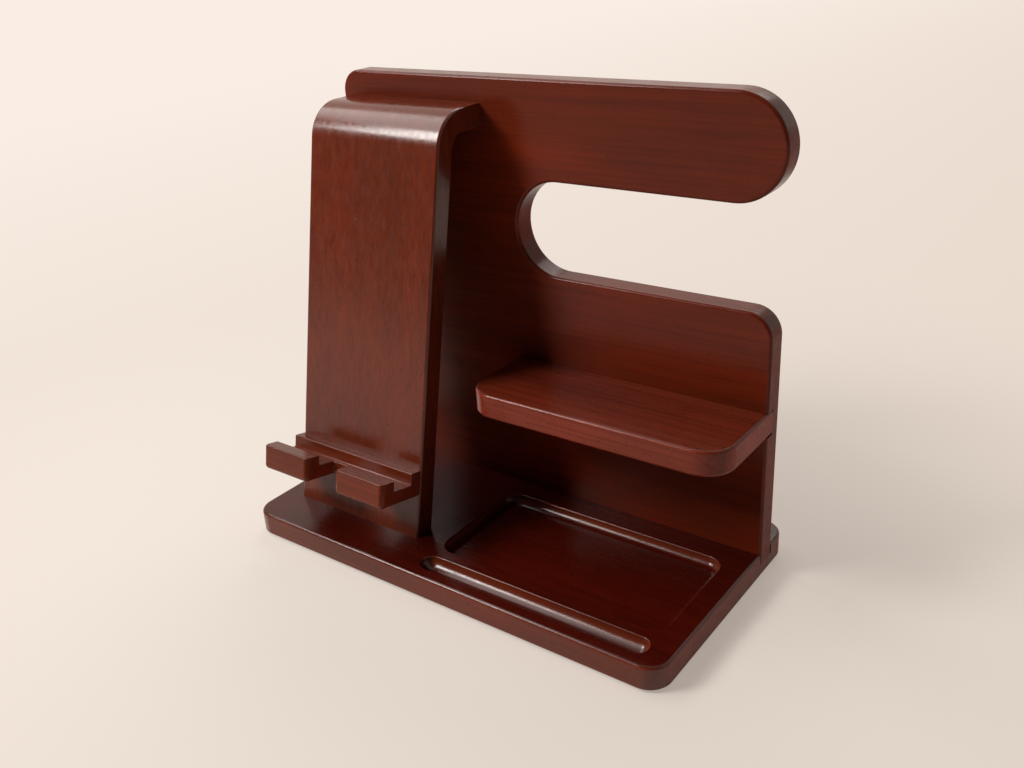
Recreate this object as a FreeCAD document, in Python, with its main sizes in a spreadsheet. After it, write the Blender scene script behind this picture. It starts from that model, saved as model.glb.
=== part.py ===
import FreeCAD, Part
import os
import math

import Sketcher
from FreeCAD import Placement, Rotation, Vector

# A wooden docking station for a bedside or a desk: a base with a tray and a pen groove, an upright
# back panel sawn into a hanging arm, a shelf let into the panel, and a bent board with a milled rest
# that holds a phone. Millimetres, +Z up, front towards -Y. The origin is under the middle of the whole
# thing, at the level on which its four feet stand.

# ---------------------------------------------------------------- sizes that are chosen
DRIVING = [
    ("base_length", 250, "base board, left to right"),
    ("base_depth", 132, "base board, front to back"),
    ("board_thickness", 12.7, "half-inch stock of the base, panel and shelf"),
    ("base_corner_radius", 11, "base corners seen from above"),
    ("arris_radius", 1.6, "rounded-over edges of those three boards"),
    ("underside_chamfer", 1, "eased lower edge of the base"),
    ("tray_length", 127, "tray recess, left to right"),
    ("tray_width", 63.5, "tray recess, front to back"),
    ("tray_side_gap", 12, "tray recess to the base's right edge"),
    ("tray_back_gap", 12.6, "tray recess to the panel's face"),
    ("tray_corner_radius", 8.7, "tray corners seen from above"),
    ("tray_depth", 5.2, "tray recess below the base's top"),
    ("tray_cove_radius", 4.4, "cove between the tray's floor and walls"),
    ("tray_rim_chamfer", 0.5, "eased rim of the tray"),
    ("groove_length", 127, "pen groove over its ball ends"),
    ("groove_width", 11, "pen groove, twice the ball cutter's radius"),
    ("groove_rim_radius", 0.5, "rounded-over rim of the pen groove"),
    ("groove_front_gap", 6.6, "pen groove to the base's front edge"),
    ("groove_side_gap", 12, "pen groove to the base's right edge"),
    ("panel_back_gap", 19, "base left free behind the panel"),
    ("panel_side_gap", 5.8, "base left free beside the panel's left edge"),
    ("panel_height", 218.2, "panel above the base's top"),
    ("panel_dado_depth", 5.5, "panel let into the base"),
    ("panel_corner_radius", 11.2, "panel's top left corner"),
    ("shoulder_radius", 12.7, "panel's corner below the slot's mouth"),
    ("arm_height", 47.4, "hanging arm, top to bottom"),
    ("arm_overhang", 3, "arm past the base's right edge"),
    ("slot_length", 134.8, "slot under the arm, from the panel's right edge"),
    ("slot_height", 47.2, "slot under the arm, top to bottom"),
    ("shelf_length", 138.6, "shelf, from the panel's right edge"),
    ("shelf_reach", 47, "shelf in front of the panel's face"),
    ("shelf_rise", 76.1, "shelf's top above the base's top"),
    ("shelf_dado_depth", 6, "shelf let into the panel"),
    ("shelf_corner_radius", 15, "shelf's front corners"),
    ("dado_fit", 0.1, "clearance each side of a board in its dado"),
    ("phone_side_gap", 12.4, "phone board to the base's left edge"),
    ("phone_front_gap", 24.5, "phone board's foot to the base's front edge"),
    ("phone_width", 84.4, "phone board, left to right"),
    ("phone_thickness", 11.5, "phone board's thickness"),
    ("phone_lean", 12.5, "phone board's lean from upright, in degrees"),
    ("phone_bend_radius", 8, "inside of the phone board's bend"),
    ("phone_top_drop", 12.3, "phone board's top below the panel's"),
    ("phone_arris_radius", 1.4, "rounded-over edges of the phone board"),
    ("rest_rise", 23, "underside of the rest, up the phone board from the base"),
    ("ledge_thickness", 7.6, "ledge that the phone stands on"),
    ("bar_lip", 6.3, "bar against the board above the ledge"),
    ("bar_thickness", 6.8, "bar, measured off the board's face"),
    ("phone_channel", 12.3, "channel that the phone stands in"),
    ("finger_thickness", 9.2, "fingers in front of the channel"),
    ("finger_lip", 5.5, "fingers above the ledge"),
    ("cable_gap", 20, "notch between the two arms, for a charging cable"),
    ("notch_lip", 2, "ledge left in front of the bar across the notch"),
    ("finger_corner_radius", 2.4, "fingers' upright and lower front corners"),
    ("rest_chamfer", 0.6, "eased edges of the rest"),
    ("rest_cove_radius", 0.8, "coves along the ledge"),
    ("foot_diameter", 14, "rubber foot pads"),
    ("foot_thickness", 2, "rubber foot pads"),
    ("foot_recess_depth", 1.2, "recess that a pad is glued into"),
    ("foot_inset", 17, "pad centres from the base's edges"),
    ("foot_fit", 0.2, "clearance round a pad in its recess"),
    ("screw_sink", 0.3, "countersunk heads below the surface"),
    ("screw_fit", 0.1, "clearance round a shank"),
    ("drill_end_gap", 1, "hole past a screw's point or a dowel's end"),
    ("screw_point_share", 1, "length of a screw's point, over its diameter"),
    ("drive_span_share", 0.9, "span of the cross in a screw's head, over its diameter"),
    ("drive_width_share", 0.3, "width of that cross, over the screw's diameter"),
    ("drive_depth_share", 0.3, "depth of that cross, over the screw's diameter"),
    ("panel_screw_diameter", 4, "screws through the base into the panel"),
    ("panel_screw_head", 7.5, "head of those screws"),
    ("panel_screw_length", 30, "screws through the base into the panel"),
    ("panel_screw_inset", 39, "outer ones from the panel's ends"),
    ("phone_screw_diameter", 3.5, "screws through the base into the phone board"),
    ("phone_screw_head", 6.5, "head of those screws"),
    ("phone_screw_length", 25, "screws through the base into the phone board"),
    ("phone_screw_inset", 20, "from the phone board's edges"),
    ("rest_screw_diameter", 3, "screws through the phone board into the rest"),
    ("rest_screw_head", 5.6, "head of those screws"),
    ("rest_screw_length", 22, "screws through the phone board into the rest"),
    ("rest_screw_inset", 15.3, "from the phone board's edges"),
    ("shelf_screw_diameter", 4, "screws through the panel into the shelf"),
    ("shelf_screw_head", 7.5, "head of those screws"),
    ("shelf_screw_length", 25, "screws through the panel into the shelf"),
    ("shelf_screw_inset", 35, "from the shelf's ends"),
    ("dowel_diameter", 6, "dowels between the phone board and the panel"),
    ("dowel_length", 18, "dowels between the phone board and the panel"),
    ("dowel_panel_bite", 8, "length of a dowel in the panel"),
    ("dowel_inset", 20, "from the phone board's edges"),
    ("dowel_fit", 0.05, "clearance round a dowel"),
]

# ---------------------------------------------------------------- places that follow from the sizes
FOLLOWING = [
    # seen from the base's front left corner
    ("stand_gap", "Sizes.foot_thickness - Sizes.foot_recess_depth"),
    ("base_top", "stand_gap + Sizes.board_thickness"),
    ("left_edge", "-(Sizes.base_length + Sizes.arm_overhang) / 2"),
    ("front_edge", "-Sizes.base_depth / 2"),
    ("panel_front", "Sizes.base_depth - Sizes.panel_back_gap - Sizes.board_thickness"),
    ("panel_middle", "panel_front + Sizes.board_thickness / 2"),
    ("dado_front", "panel_front - Sizes.dado_fit"),
    ("dado_back", "panel_front + Sizes.board_thickness + Sizes.dado_fit"),
    ("dado_left", "Sizes.panel_side_gap - Sizes.dado_fit"),
    ("dado_run_out", "Sizes.base_length + Sizes.board_thickness"),
    ("tray_right", "Sizes.base_length - Sizes.tray_side_gap"),
    ("tray_left", "tray_right - Sizes.tray_length"),
    ("tray_back", "panel_front - Sizes.tray_back_gap"),
    ("tray_front", "tray_back - Sizes.tray_width"),
    ("tray_floor", "Sizes.board_thickness - Sizes.tray_depth"),
    ("groove_radius", "Sizes.groove_width / 2"),
    ("groove_line", "Sizes.groove_front_gap + groove_radius"),
    ("groove_back", "Sizes.groove_front_gap + Sizes.groove_width"),
    ("groove_ball_right", "Sizes.base_length - Sizes.groove_side_gap - groove_radius"),
    ("groove_ball_left", "groove_ball_right + Sizes.groove_width - Sizes.groove_length"),
    ("foot_right", "Sizes.base_length - Sizes.foot_inset"),
    ("foot_back", "Sizes.base_depth - Sizes.foot_inset"),
    ("foot_recess_diameter", "Sizes.foot_diameter + 2 * Sizes.foot_fit"),
    # seen from the panel's lower left corner, in its dado
    ("panel_length", "Sizes.base_length - Sizes.panel_side_gap"),
    ("panel_top", "Sizes.panel_dado_depth + Sizes.panel_height"),
    ("arm_end", "panel_length + Sizes.arm_overhang"),
    ("arm_bottom", "panel_top - Sizes.arm_height"),
    ("slot_bottom", "arm_bottom - Sizes.slot_height"),
    ("slot_start", "panel_length - Sizes.slot_length"),
    ("shelf_start", "panel_length - Sizes.shelf_length"),
    ("shelf_top", "Sizes.panel_dado_depth + Sizes.shelf_rise"),
    ("shelf_bottom", "shelf_top - Sizes.board_thickness"),
    ("shelf_middle", "shelf_top - Sizes.board_thickness / 2"),
    ("shelf_dado_left", "shelf_start - Sizes.dado_fit"),
    ("shelf_dado_right", "panel_length + Sizes.board_thickness"),
    ("shelf_dado_top", "shelf_top + Sizes.dado_fit"),
    ("shelf_dado_bottom", "shelf_bottom - Sizes.dado_fit"),
    ("shelf_depth", "Sizes.shelf_reach + Sizes.shelf_dado_depth"),
    # seen from the front of the phone board's foot, on the base's top
    ("phone_from_panel", "Sizes.phone_side_gap - Sizes.panel_side_gap"),
    ("phone_top", "Sizes.panel_height - Sizes.phone_top_drop"),
    ("phone_under", "phone_top - Sizes.phone_thickness"),
    ("phone_reach", "panel_front - Sizes.phone_front_gap"),
    ("phone_foot_depth", "Sizes.phone_thickness / cos(Sizes.phone_lean)"),
    ("phone_outer_corner", "phone_top * tan(Sizes.phone_lean)"),
    ("phone_inner_corner", "phone_foot_depth + phone_under * tan(Sizes.phone_lean)"),
    ("phone_outer_radius", "Sizes.phone_bend_radius + Sizes.phone_thickness"),
    # seen from the same line, up and off the leaning board's face
    ("ledge_top", "Sizes.rest_rise + Sizes.ledge_thickness"),
    ("bar_top", "ledge_top + Sizes.bar_lip"),
    ("finger_top", "ledge_top + Sizes.finger_lip"),
    ("bar_front", "-Sizes.bar_thickness"),
    ("finger_back", "bar_front - Sizes.phone_channel"),
    ("finger_front", "finger_back - Sizes.finger_thickness"),
    ("notch_left", "(Sizes.phone_width - Sizes.cable_gap) / 2"),
    ("notch_right", "notch_left + Sizes.cable_gap"),
    ("notch_back", "bar_front - Sizes.notch_lip"),
    ("notch_run_out", "finger_front - Sizes.bar_thickness"),
    ("rest_screw_rise", "Sizes.rest_rise + Sizes.ledge_thickness / 2"),
    ("rest_screw_back_rise", "rest_screw_rise - Sizes.phone_thickness * tan(Sizes.phone_lean)"),
    # screws and dowels
    ("board_half", "Sizes.board_thickness / 2"),
    ("panel_screw_middle", "panel_length / 2"),
    ("panel_screw_last", "panel_length - Sizes.panel_screw_inset"),
    ("phone_screw_last", "Sizes.phone_width - Sizes.phone_screw_inset"),
    ("rest_screw_last", "Sizes.phone_width - Sizes.rest_screw_inset"),
    ("shelf_screw_last", "Sizes.shelf_length - Sizes.shelf_screw_inset"),
    ("dowel_last", "Sizes.phone_width - Sizes.dowel_inset"),
    ("panel_screw_bite", "Sizes.panel_screw_length + Sizes.screw_sink - Sizes.board_thickness"
                         " + Sizes.panel_dado_depth"),
    ("phone_screw_bite", "Sizes.phone_screw_length + Sizes.screw_sink - Sizes.board_thickness"),
    ("phone_screw_line", "(phone_foot_depth + phone_screw_bite * tan(Sizes.phone_lean)) / 2"),
    ("rest_screw_bite", "Sizes.rest_screw_length + Sizes.screw_sink - Sizes.phone_thickness"),
    ("shelf_screw_bite", "Sizes.shelf_screw_length + Sizes.screw_sink - Sizes.board_thickness"
                         " + Sizes.shelf_dado_depth"),
    ("dowel_phone_bite", "Sizes.dowel_length - Sizes.dowel_panel_bite"),
    ("dowel_height", "phone_top - Sizes.phone_thickness / 2"),
    ("rest_screw_in", "Sizes.phone_thickness - Sizes.screw_sink"),
    ("rest_screw_head_back", "rest_screw_rise * sin(Sizes.phone_lean)"
                             " + rest_screw_in * cos(Sizes.phone_lean)"),
    ("rest_screw_head_up", "rest_screw_rise * cos(Sizes.phone_lean)"
                           " - rest_screw_in * sin(Sizes.phone_lean)"),
]
for family in ("panel_screw", "phone_screw", "rest_screw", "shelf_screw"):
    FOLLOWING += [
        (f"{family}_radius", f"Sizes.{family}_diameter / 2"),
        (f"{family}_head_radius", f"Sizes.{family}_head / 2"),
        (f"{family}_head_height", f"{family}_head_radius - {family}_radius"),
        (f"{family}_shank_end", f"Sizes.{family}_length - Sizes.screw_point_share * Sizes.{family}_diameter"),
        (f"{family}_drive_long", f"Sizes.drive_span_share * {family}_radius"),
        (f"{family}_drive_short", f"Sizes.drive_width_share * {family}_radius"),
        (f"{family}_drive_depth", f"Sizes.drive_depth_share * Sizes.{family}_diameter"),
    ]

doc = FreeCAD.newDocument("DockingStation")
sizes = doc.addObject("Spreadsheet::Sheet", "Sizes")
for row, (alias, number, meaning) in enumerate(DRIVING, start=1):
    sizes.set(f"A{row}", meaning)
    sizes.set(f"B{row}", str(number))
    sizes.setAlias(f"B{row}", alias)
doc.recompute()
places = doc.addObject("Spreadsheet::Sheet", "Places")
for row, (alias, formula) in enumerate(FOLLOWING, start=1):
    places.set(f"B{row}", "=" + formula)
    places.setAlias(f"B{row}", alias)
    doc.recompute()

CHOSEN = [alias for alias, number, meaning in DRIVING]
H_AXIS, V_AXIS = range(-1, -3, -1)     # a sketch's own axes
START, END, CENTRE = range(1, 4)       # a sketched curve's vertices
ROUND_FROM, ROUND_TO = "round from", "round to"     # the two corners of a fully rounded end
SAME = 0.001
X_AXIS, Z_AXIS = Vector(1, 0, 0), Vector(0, 0, 1)


# ---------------------------------------------------------------- sketches and features
def ref(name):
    """Spells a size or a place, with any minus sign, the way an expression does."""
    bare = name.lstrip("-")
    return name.replace(bare, ("Sizes." if bare in CHOSEN else "Places.") + bare)


def mm(name):
    """Reads a size or a place, with any minus sign, as it now stands. None is 0."""
    if name is None:
        return 0.0
    if name.startswith("-"):
        return -mm(name[1:])
    return float((sizes if name in CHOSEN else places).get(name))


def tie(sketch, constraint, name):
    """Adds a constraint whose value follows a size or a place."""
    index = sketch.addConstraint(constraint)
    sketch.setExpression(f"Constraints[{index}]", ref(name))


def pin(sketch, vertex, across, up):
    """Holds a vertex at a named place, None being on the sketch's own axis."""
    for kind, axis, name in (("DistanceX", V_AXIS, across), ("DistanceY", H_AXIS, up)):
        if name is None:
            sketch.addConstraint(Sketcher.Constraint("PointOnObject", *vertex, axis))
        else:
            tie(sketch, Sketcher.Constraint(kind, *vertex, mm(name)), name)


def outline(sketch, corners):
    """Draws a closed outline through corners given as (across, up, radius).

    A radius of None leaves the corner sharp. A corner marked ROUND_FROM and the next, marked ROUND_TO, are
    joined by one half circle.
    """
    count = len(corners)
    spots = [Vector(mm(across), mm(up)) for across, up, radius in corners]
    marks = [radius for across, up, radius in corners]
    enter, leave, arcs = list(spots), list(spots), {}
    for i, mark in enumerate(marks):
        after = (i + 1) % count
        back = (spots[i - 1] - spots[i]).normalize()
        ahead = (spots[after] - spots[i]).normalize()
        last = i
        if mark == ROUND_FROM:
            last = after
            radius = (spots[after] - spots[i]).Length / 2
            enter[i] = spots[i] + back * radius
            leave[last] = spots[last] + back * radius
            centre = (enter[i] + leave[last]) / 2
        elif mark and mark != ROUND_TO:
            radius = mm(mark)
            half_angle = back.getAngle(ahead) / 2
            enter[i] = spots[i] + back * (radius / math.tan(half_angle))
            leave[i] = spots[i] + ahead * (radius / math.tan(half_angle))
            centre = spots[i] + (back + ahead).normalize() * (radius / math.sin(half_angle))
        else:
            continue
        turns_left = ahead.cross(back).z > 0
        first, second = (enter[i], leave[last]) if turns_left else (leave[last], enter[i])
        angles = [math.atan2(p.y - centre.y, p.x - centre.x) for p in (first, second)]
        curve = Part.ArcOfCircle(Part.Circle(centre, Z_AXIS, radius), *angles)
        arcs[i] = (sketch.addGeometry(curve, False), *((START, END) if turns_left else (END, START)))

    lines = {}
    for i in range(count):
        after = (i + 1) % count
        cap = marks[i] == ROUND_FROM
        run = Part.LineSegment(spots[i], spots[after]) if cap else Part.LineSegment(leave[i], enter[after])
        lines[i] = sketch.addGeometry(run, cap)

    for i, (across, up, mark) in enumerate(corners):
        before = lines[(i - 1) % count]
        if mark == ROUND_TO:
            pin(sketch, (before, END), across, up)
            sketch.addConstraint(Sketcher.Constraint("PointOnObject", before, END, lines[i]))
        elif mark == ROUND_FROM:
            arc, near, far = arcs[i]
            pin(sketch, (lines[i], START), across, up)
            sketch.addConstraint(Sketcher.Constraint("PointOnObject", lines[i], START, before))
            sketch.addConstraint(Sketcher.Constraint("Tangent", before, END, arc, near))
            sketch.addConstraint(Sketcher.Constraint("Tangent", arc, far, lines[(i + 1) % count], START))
            sketch.addConstraint(Sketcher.Constraint("Tangent", arc, lines[i]))
        elif mark:
            arc, near, far = arcs[i]
            corner = sketch.addGeometry(Part.Point(spots[i]), True)
            pin(sketch, (corner, START), across, up)
            sketch.addConstraint(Sketcher.Constraint("PointOnObject", corner, START, before))
            sketch.addConstraint(Sketcher.Constraint("PointOnObject", corner, START, lines[i]))
            sketch.addConstraint(Sketcher.Constraint("Tangent", before, END, arc, near))
            sketch.addConstraint(Sketcher.Constraint("Tangent", arc, far, lines[i], START))
            tie(sketch, Sketcher.Constraint("Radius", arc, mm(mark)), mark)
        else:
            pin(sketch, (lines[i], START), across, up)
            sketch.addConstraint(Sketcher.Constraint("Coincident", before, END, lines[i], START))


def circles(sketch, diameter, centres):
    """Draws a circle of one diameter at each of the named centres."""
    for across, up in centres:
        circle = sketch.addGeometry(Part.Circle(Vector(mm(across), mm(up)), Z_AXIS, mm(diameter) / 2), False)
        pin(sketch, (circle, CENTRE), across, up)
        tie(sketch, Sketcher.Constraint("Diameter", circle, mm(diameter)), diameter)


def new_body(label, x, y, z):
    """Starts a piece whose own corner lies at x, y and z, each an expression."""
    body = doc.addObject("PartDesign::Body", label)
    body.Label = label
    for axis, expression in zip("xyz", (x, y, z)):
        body.setExpression(f"Placement.Base.{axis}", expression)
    return body


def tilt(body, angle):
    """Turns a piece about its own X axis by an angle given as an expression."""
    body.Placement = Placement(body.Placement.Base, Rotation(X_AXIS, 1))
    body.setExpression("Placement.Rotation.Angle", angle)


def new_sketch(body, name, plane, shift=(None, None, None)):
    """Starts a sketch on one of the body's planes, shifted across, up and out of it by named places."""
    sketch = body.newObject("Sketcher::SketchObject", name)
    support = next(f for f in body.Origin.OriginFeatures if f.Role == plane)
    sketch.AttachmentSupport = (support, [""])
    sketch.MapMode = "FlatFace"
    for axis, place in zip("xyz", shift):
        if place:
            sketch.setExpression(f"AttachmentOffset.Base.{axis}", ref(place))
    return sketch


def pad(body, sketch, length, away=False):
    """Thickens an outline into a board. away turns it to the far side of the sketch."""
    feature = body.newObject("PartDesign::Pad", sketch.Name + "_pad")
    feature.Profile = sketch
    feature.Reversed = away
    feature.setExpression("Length", ref(length))
    doc.recompute()
    return feature


def cuts(feature):
    """Recomputes a cutting feature and insists that it took material away."""
    doc.recompute()
    if feature.Shape.Volume > feature.BaseFeature.Shape.Volume - SAME:
        raise RuntimeError(feature.Name + " cut nothing")
    return feature


def pocket(body, sketch, depth, away=False):
    """Sinks an outline into a board, or right through it where depth is None."""
    feature = body.newObject("PartDesign::Pocket", sketch.Name + "_pocket")
    feature.Profile = sketch
    feature.Reversed = away
    if depth:
        feature.setExpression("Length", ref(depth))
    else:
        feature.Type = "ThroughAll"
    return cuts(feature)


def drill(body, sketch, diameter, depth, away=False, head=None):
    """Drills at each circle of a sketch, with a countersink for a 90 degree screw head of diameter head.

    The countersink is that much wider at its mouth that the head sinks below the surface.
    """
    doc.recompute()
    feature = body.newObject("PartDesign::Hole", sketch.Name + "_hole")
    feature.Profile = sketch
    feature.Reversed = away
    feature.ThreadType = "None"
    feature.setExpression("Diameter", diameter)
    if depth:
        feature.DepthType = "Dimension"
        feature.DrillPoint = "Flat"
        feature.setExpression("Depth", depth)
    else:
        feature.DepthType = "ThroughAll"
    if head:
        feature.HoleCutType = "Countersink"
        feature.HoleCutCustomValues = True
        feature.HoleCutCountersinkAngle = 90
        feature.setExpression("HoleCutDiameter", head + " + 2 * Sizes.screw_sink")
    return cuts(feature)


def is_sharp(shape, edge):
    """Tells an edge where two faces meet at an angle from a seam or a smooth join."""
    spot = edge.valueAt((edge.FirstParameter + edge.LastParameter) / 2)
    faces = shape.ancestorsOfType(edge, Part.Face)
    normals = [face.normalAt(*face.Surface.parameter(spot)) for face in faces]
    return len(normals) == 2 and abs(normals[0].dot(normals[1])) < 0.9


def ease(body, name, kind, measure, size, chosen):
    """Eases the sharp edges of the body as it now stands whose extents pass the test."""
    doc.recompute()
    solid = body.Tip
    edges = [f"Edge{n}" for n, edge in enumerate(solid.Shape.Edges, start=1)
             if chosen(edge.BoundBox) and is_sharp(solid.Shape, edge)]
    feature = body.newObject(kind, name)
    feature.Base = (solid, edges)
    feature.setExpression(measure, ref(size))
    doc.recompute()


def round_over(body, name, radius, chosen):
    """Rounds the chosen edges."""
    ease(body, name, "PartDesign::Fillet", "Radius", radius, chosen)


def chamfer(body, name, size, chosen):
    """Takes the chosen edges off at 45 degrees."""
    ease(body, name, "PartDesign::Chamfer", "Size", size, chosen)


def flat(length):
    """Tells whether an edge's extent along an axis is nothing, so that the edge is square to it."""
    return length < SAME


# ---------------------------------------------------------------- base board
base = new_body("base_board", "Places.left_edge", "Places.front_edge", "Places.stand_gap")
base_plan = new_sketch(base, "base_plan", "XY_Plane")
outline(base_plan, [
    (None, None, "base_corner_radius"),
    ("base_length", None, "base_corner_radius"),
    ("base_length", "base_depth", "base_corner_radius"),
    (None, "base_depth", "base_corner_radius"),
])
pad(base, base_plan, "board_thickness")
round_over(base, "base_arrises", "arris_radius", lambda box: flat(box.ZLength) and box.ZMin > SAME)
chamfer(base, "base_underside", "underside_chamfer", lambda box: flat(box.ZLength) and box.ZMax < SAME)

# The dado that takes the panel stops short of the left end and runs out at the right.
panel_dado = new_sketch(base, "panel_dado", "XY_Plane", (None, None, "board_thickness"))
outline(panel_dado, [
    ("dado_left", "dado_front", None),
    ("dado_run_out", "dado_front", None),
    ("dado_run_out", "dado_back", None),
    ("dado_left", "dado_back", None),
])
pocket(base, panel_dado, "panel_dado_depth")

# The tray is milled with a ball-ended cutter, which leaves a cove all round its floor.
tray = new_sketch(base, "tray", "XY_Plane", (None, None, "board_thickness"))
outline(tray, [
    ("tray_left", "tray_front", "tray_corner_radius"),
    ("tray_right", "tray_front", "tray_corner_radius"),
    ("tray_right", "tray_back", "tray_corner_radius"),
    ("tray_left", "tray_back", "tray_corner_radius"),
])
pocket(base, tray, "tray_depth")


def level_at(box, height, front, back):
    """Tells whether an edge lies level at a height, between two lines across the base."""
    between = mm(front) - SAME < box.YMin and box.YMax < mm(back) + SAME
    return between and flat(box.ZLength) and abs(box.ZMax - mm(height)) < SAME


round_over(base, "tray_cove", "tray_cove_radius",
           lambda box: level_at(box, "tray_floor", "tray_front", "tray_back"))
chamfer(base, "tray_rim", "tray_rim_chamfer",
        lambda box: level_at(box, "board_thickness", "tray_front", "tray_back"))

# The pen groove is half a stadium swept round its own axis, which lies in the base's top.
groove = new_sketch(base, "pen_groove", "XZ_Plane", (None, "board_thickness", "-groove_line"))
left, right = Vector(mm("groove_ball_left"), 0), Vector(mm("groove_ball_right"), 0)
drop = Vector(0, -mm("groove_radius"))
axis_run = groove.addGeometry(Part.LineSegment(left + Vector(drop.y, 0), right - Vector(drop.y, 0)), False)
left_ball = groove.addGeometry(
    Part.ArcOfCircle(Part.Circle(left, Z_AXIS, mm("groove_radius")), math.pi, 1.5 * math.pi), False)
floor_run = groove.addGeometry(Part.LineSegment(left + drop, right + drop), False)
right_ball = groove.addGeometry(
    Part.ArcOfCircle(Part.Circle(right, Z_AXIS, mm("groove_radius")), 1.5 * math.pi, 2 * math.pi), False)
pin(groove, (left_ball, CENTRE), "groove_ball_left", None)
pin(groove, (right_ball, CENTRE), "groove_ball_right", None)
tie(groove, Sketcher.Constraint("Radius", left_ball, mm("groove_radius")), "groove_radius")
groove.addConstraint([
    Sketcher.Constraint("Coincident", axis_run, START, left_ball, START),
    Sketcher.Constraint("Coincident", axis_run, END, right_ball, END),
    Sketcher.Constraint("Tangent", left_ball, END, floor_run, START),
    Sketcher.Constraint("Tangent", floor_run, END, right_ball, START),
    Sketcher.Constraint("PointOnObject", axis_run, START, H_AXIS),
    Sketcher.Constraint("PointOnObject", axis_run, END, H_AXIS),
    Sketcher.Constraint("Horizontal", floor_run),
])
groove_cut = base.newObject("PartDesign::Groove", "pen_groove_cut")
groove_cut.Profile = groove
groove_cut.ReferenceAxis = (groove, ["H_Axis"])
groove_cut.Angle = 360
cuts(groove_cut)
round_over(base, "pen_groove_rim", "groove_rim_radius",
           lambda box: level_at(box, "board_thickness", "groove_front_gap", "groove_back"))

feet_at = [(across, up) for up in ("foot_inset", "foot_back") for across in ("foot_inset", "foot_right")]
foot_recesses = new_sketch(base, "foot_recesses", "XY_Plane")
circles(foot_recesses, "foot_recess_diameter", feet_at)
pocket(base, foot_recesses, "foot_recess_depth", away=True)

panel_screw_places = ("panel_screw_inset", "panel_screw_middle", "panel_screw_last")
panel_screws_at = [(across, "board_half") for across in panel_screw_places]
panel_screw_holes = new_sketch(base, "panel_screw_holes", "XY_Plane", ("panel_side_gap", "panel_front", None))
circles(panel_screw_holes, "panel_screw_diameter", panel_screws_at)
drill(base, panel_screw_holes, "Sizes.panel_screw_diameter + 2 * Sizes.screw_fit", None, away=True,
      head="Sizes.panel_screw_head")

phone_screws_at = [(across, "phone_screw_line") for across in ("phone_screw_inset", "phone_screw_last")]
phone_screw_holes = new_sketch(base, "phone_screw_holes", "XY_Plane",
                               ("phone_side_gap", "phone_front_gap", None))
circles(phone_screw_holes, "phone_screw_diameter", phone_screws_at)
drill(base, phone_screw_holes, "Sizes.phone_screw_diameter + 2 * Sizes.screw_fit", None, away=True,
      head="Sizes.phone_screw_head")

# ---------------------------------------------------------------- back panel with its hanging arm
panel = new_body("back_panel", "Places.left_edge + Sizes.panel_side_gap",
                 "Places.front_edge + Places.panel_front", "Places.base_top - Sizes.panel_dado_depth")
panel_face = new_sketch(panel, "panel_face", "XZ_Plane")
outline(panel_face, [
    (None, None, None),
    ("panel_length", None, None),
    ("panel_length", "slot_bottom", "shoulder_radius"),
    ("slot_start", "slot_bottom", ROUND_FROM),
    ("slot_start", "arm_bottom", ROUND_TO),
    ("arm_end", "arm_bottom", ROUND_FROM),
    ("arm_end", "panel_top", ROUND_TO),
    (None, "panel_top", "panel_corner_radius"),
])
pad(panel, panel_face, "board_thickness", away=True)
round_over(panel, "panel_arrises", "arris_radius", lambda box: flat(box.YLength) and box.ZMax > SAME)

# The shelf's dado starts at the shelf's left end and runs out through the panel's right edge.
shelf_dado = new_sketch(panel, "shelf_dado", "XZ_Plane")
outline(shelf_dado, [
    ("shelf_dado_left", "shelf_dado_bottom", None),
    ("shelf_dado_right", "shelf_dado_bottom", None),
    ("shelf_dado_right", "shelf_dado_top", None),
    ("shelf_dado_left", "shelf_dado_top", None),
])
pocket(panel, shelf_dado, "shelf_dado_depth")

panel_pilot_holes = new_sketch(panel, "panel_pilot_holes", "XY_Plane")
circles(panel_pilot_holes, "panel_screw_diameter", panel_screws_at)
drill(panel, panel_pilot_holes, "Sizes.panel_screw_diameter + 2 * Sizes.screw_fit",
      "Places.panel_screw_bite + Sizes.drill_end_gap", away=True)

shelf_screws_at = [(across, "board_half") for across in ("shelf_screw_inset", "shelf_screw_last")]
shelf_screw_holes = new_sketch(panel, "shelf_screw_holes", "XZ_Plane",
                               ("shelf_start", "shelf_bottom", "-board_thickness"))
circles(shelf_screw_holes, "shelf_screw_diameter", shelf_screws_at)
drill(panel, shelf_screw_holes, "Sizes.shelf_screw_diameter + 2 * Sizes.screw_fit", None, away=True,
      head="Sizes.shelf_screw_head")

dowels_at = [(across, "dowel_height") for across in ("dowel_inset", "dowel_last")]
panel_dowel_holes = new_sketch(panel, "panel_dowel_holes", "XZ_Plane",
                               ("phone_from_panel", "panel_dado_depth", None))
circles(panel_dowel_holes, "dowel_diameter", dowels_at)
drill(panel, panel_dowel_holes, "Sizes.dowel_diameter + 2 * Sizes.dowel_fit",
      "Sizes.dowel_panel_bite + Sizes.drill_end_gap")

# ---------------------------------------------------------------- shelf
shelf = new_body("shelf", "Places.left_edge + Sizes.panel_side_gap + Places.shelf_start",
                 "Places.front_edge + Places.panel_front - Sizes.shelf_reach",
                 "Places.base_top + Sizes.shelf_rise - Sizes.board_thickness")
shelf_plan = new_sketch(shelf, "shelf_plan", "XY_Plane")
outline(shelf_plan, [
    (None, None, "shelf_corner_radius"),
    ("shelf_length", None, "shelf_corner_radius"),
    ("shelf_length", "shelf_depth", None),
    (None, "shelf_depth", None),
])
pad(shelf, shelf_plan, "board_thickness")
round_over(shelf, "shelf_arrises", "arris_radius",
           lambda box: flat(box.ZLength) and box.YMin < mm("shelf_depth") - SAME)
shelf_pilot_holes = new_sketch(shelf, "shelf_pilot_holes", "XZ_Plane", (None, None, "-shelf_depth"))
circles(shelf_pilot_holes, "shelf_screw_diameter", shelf_screws_at)
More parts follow.
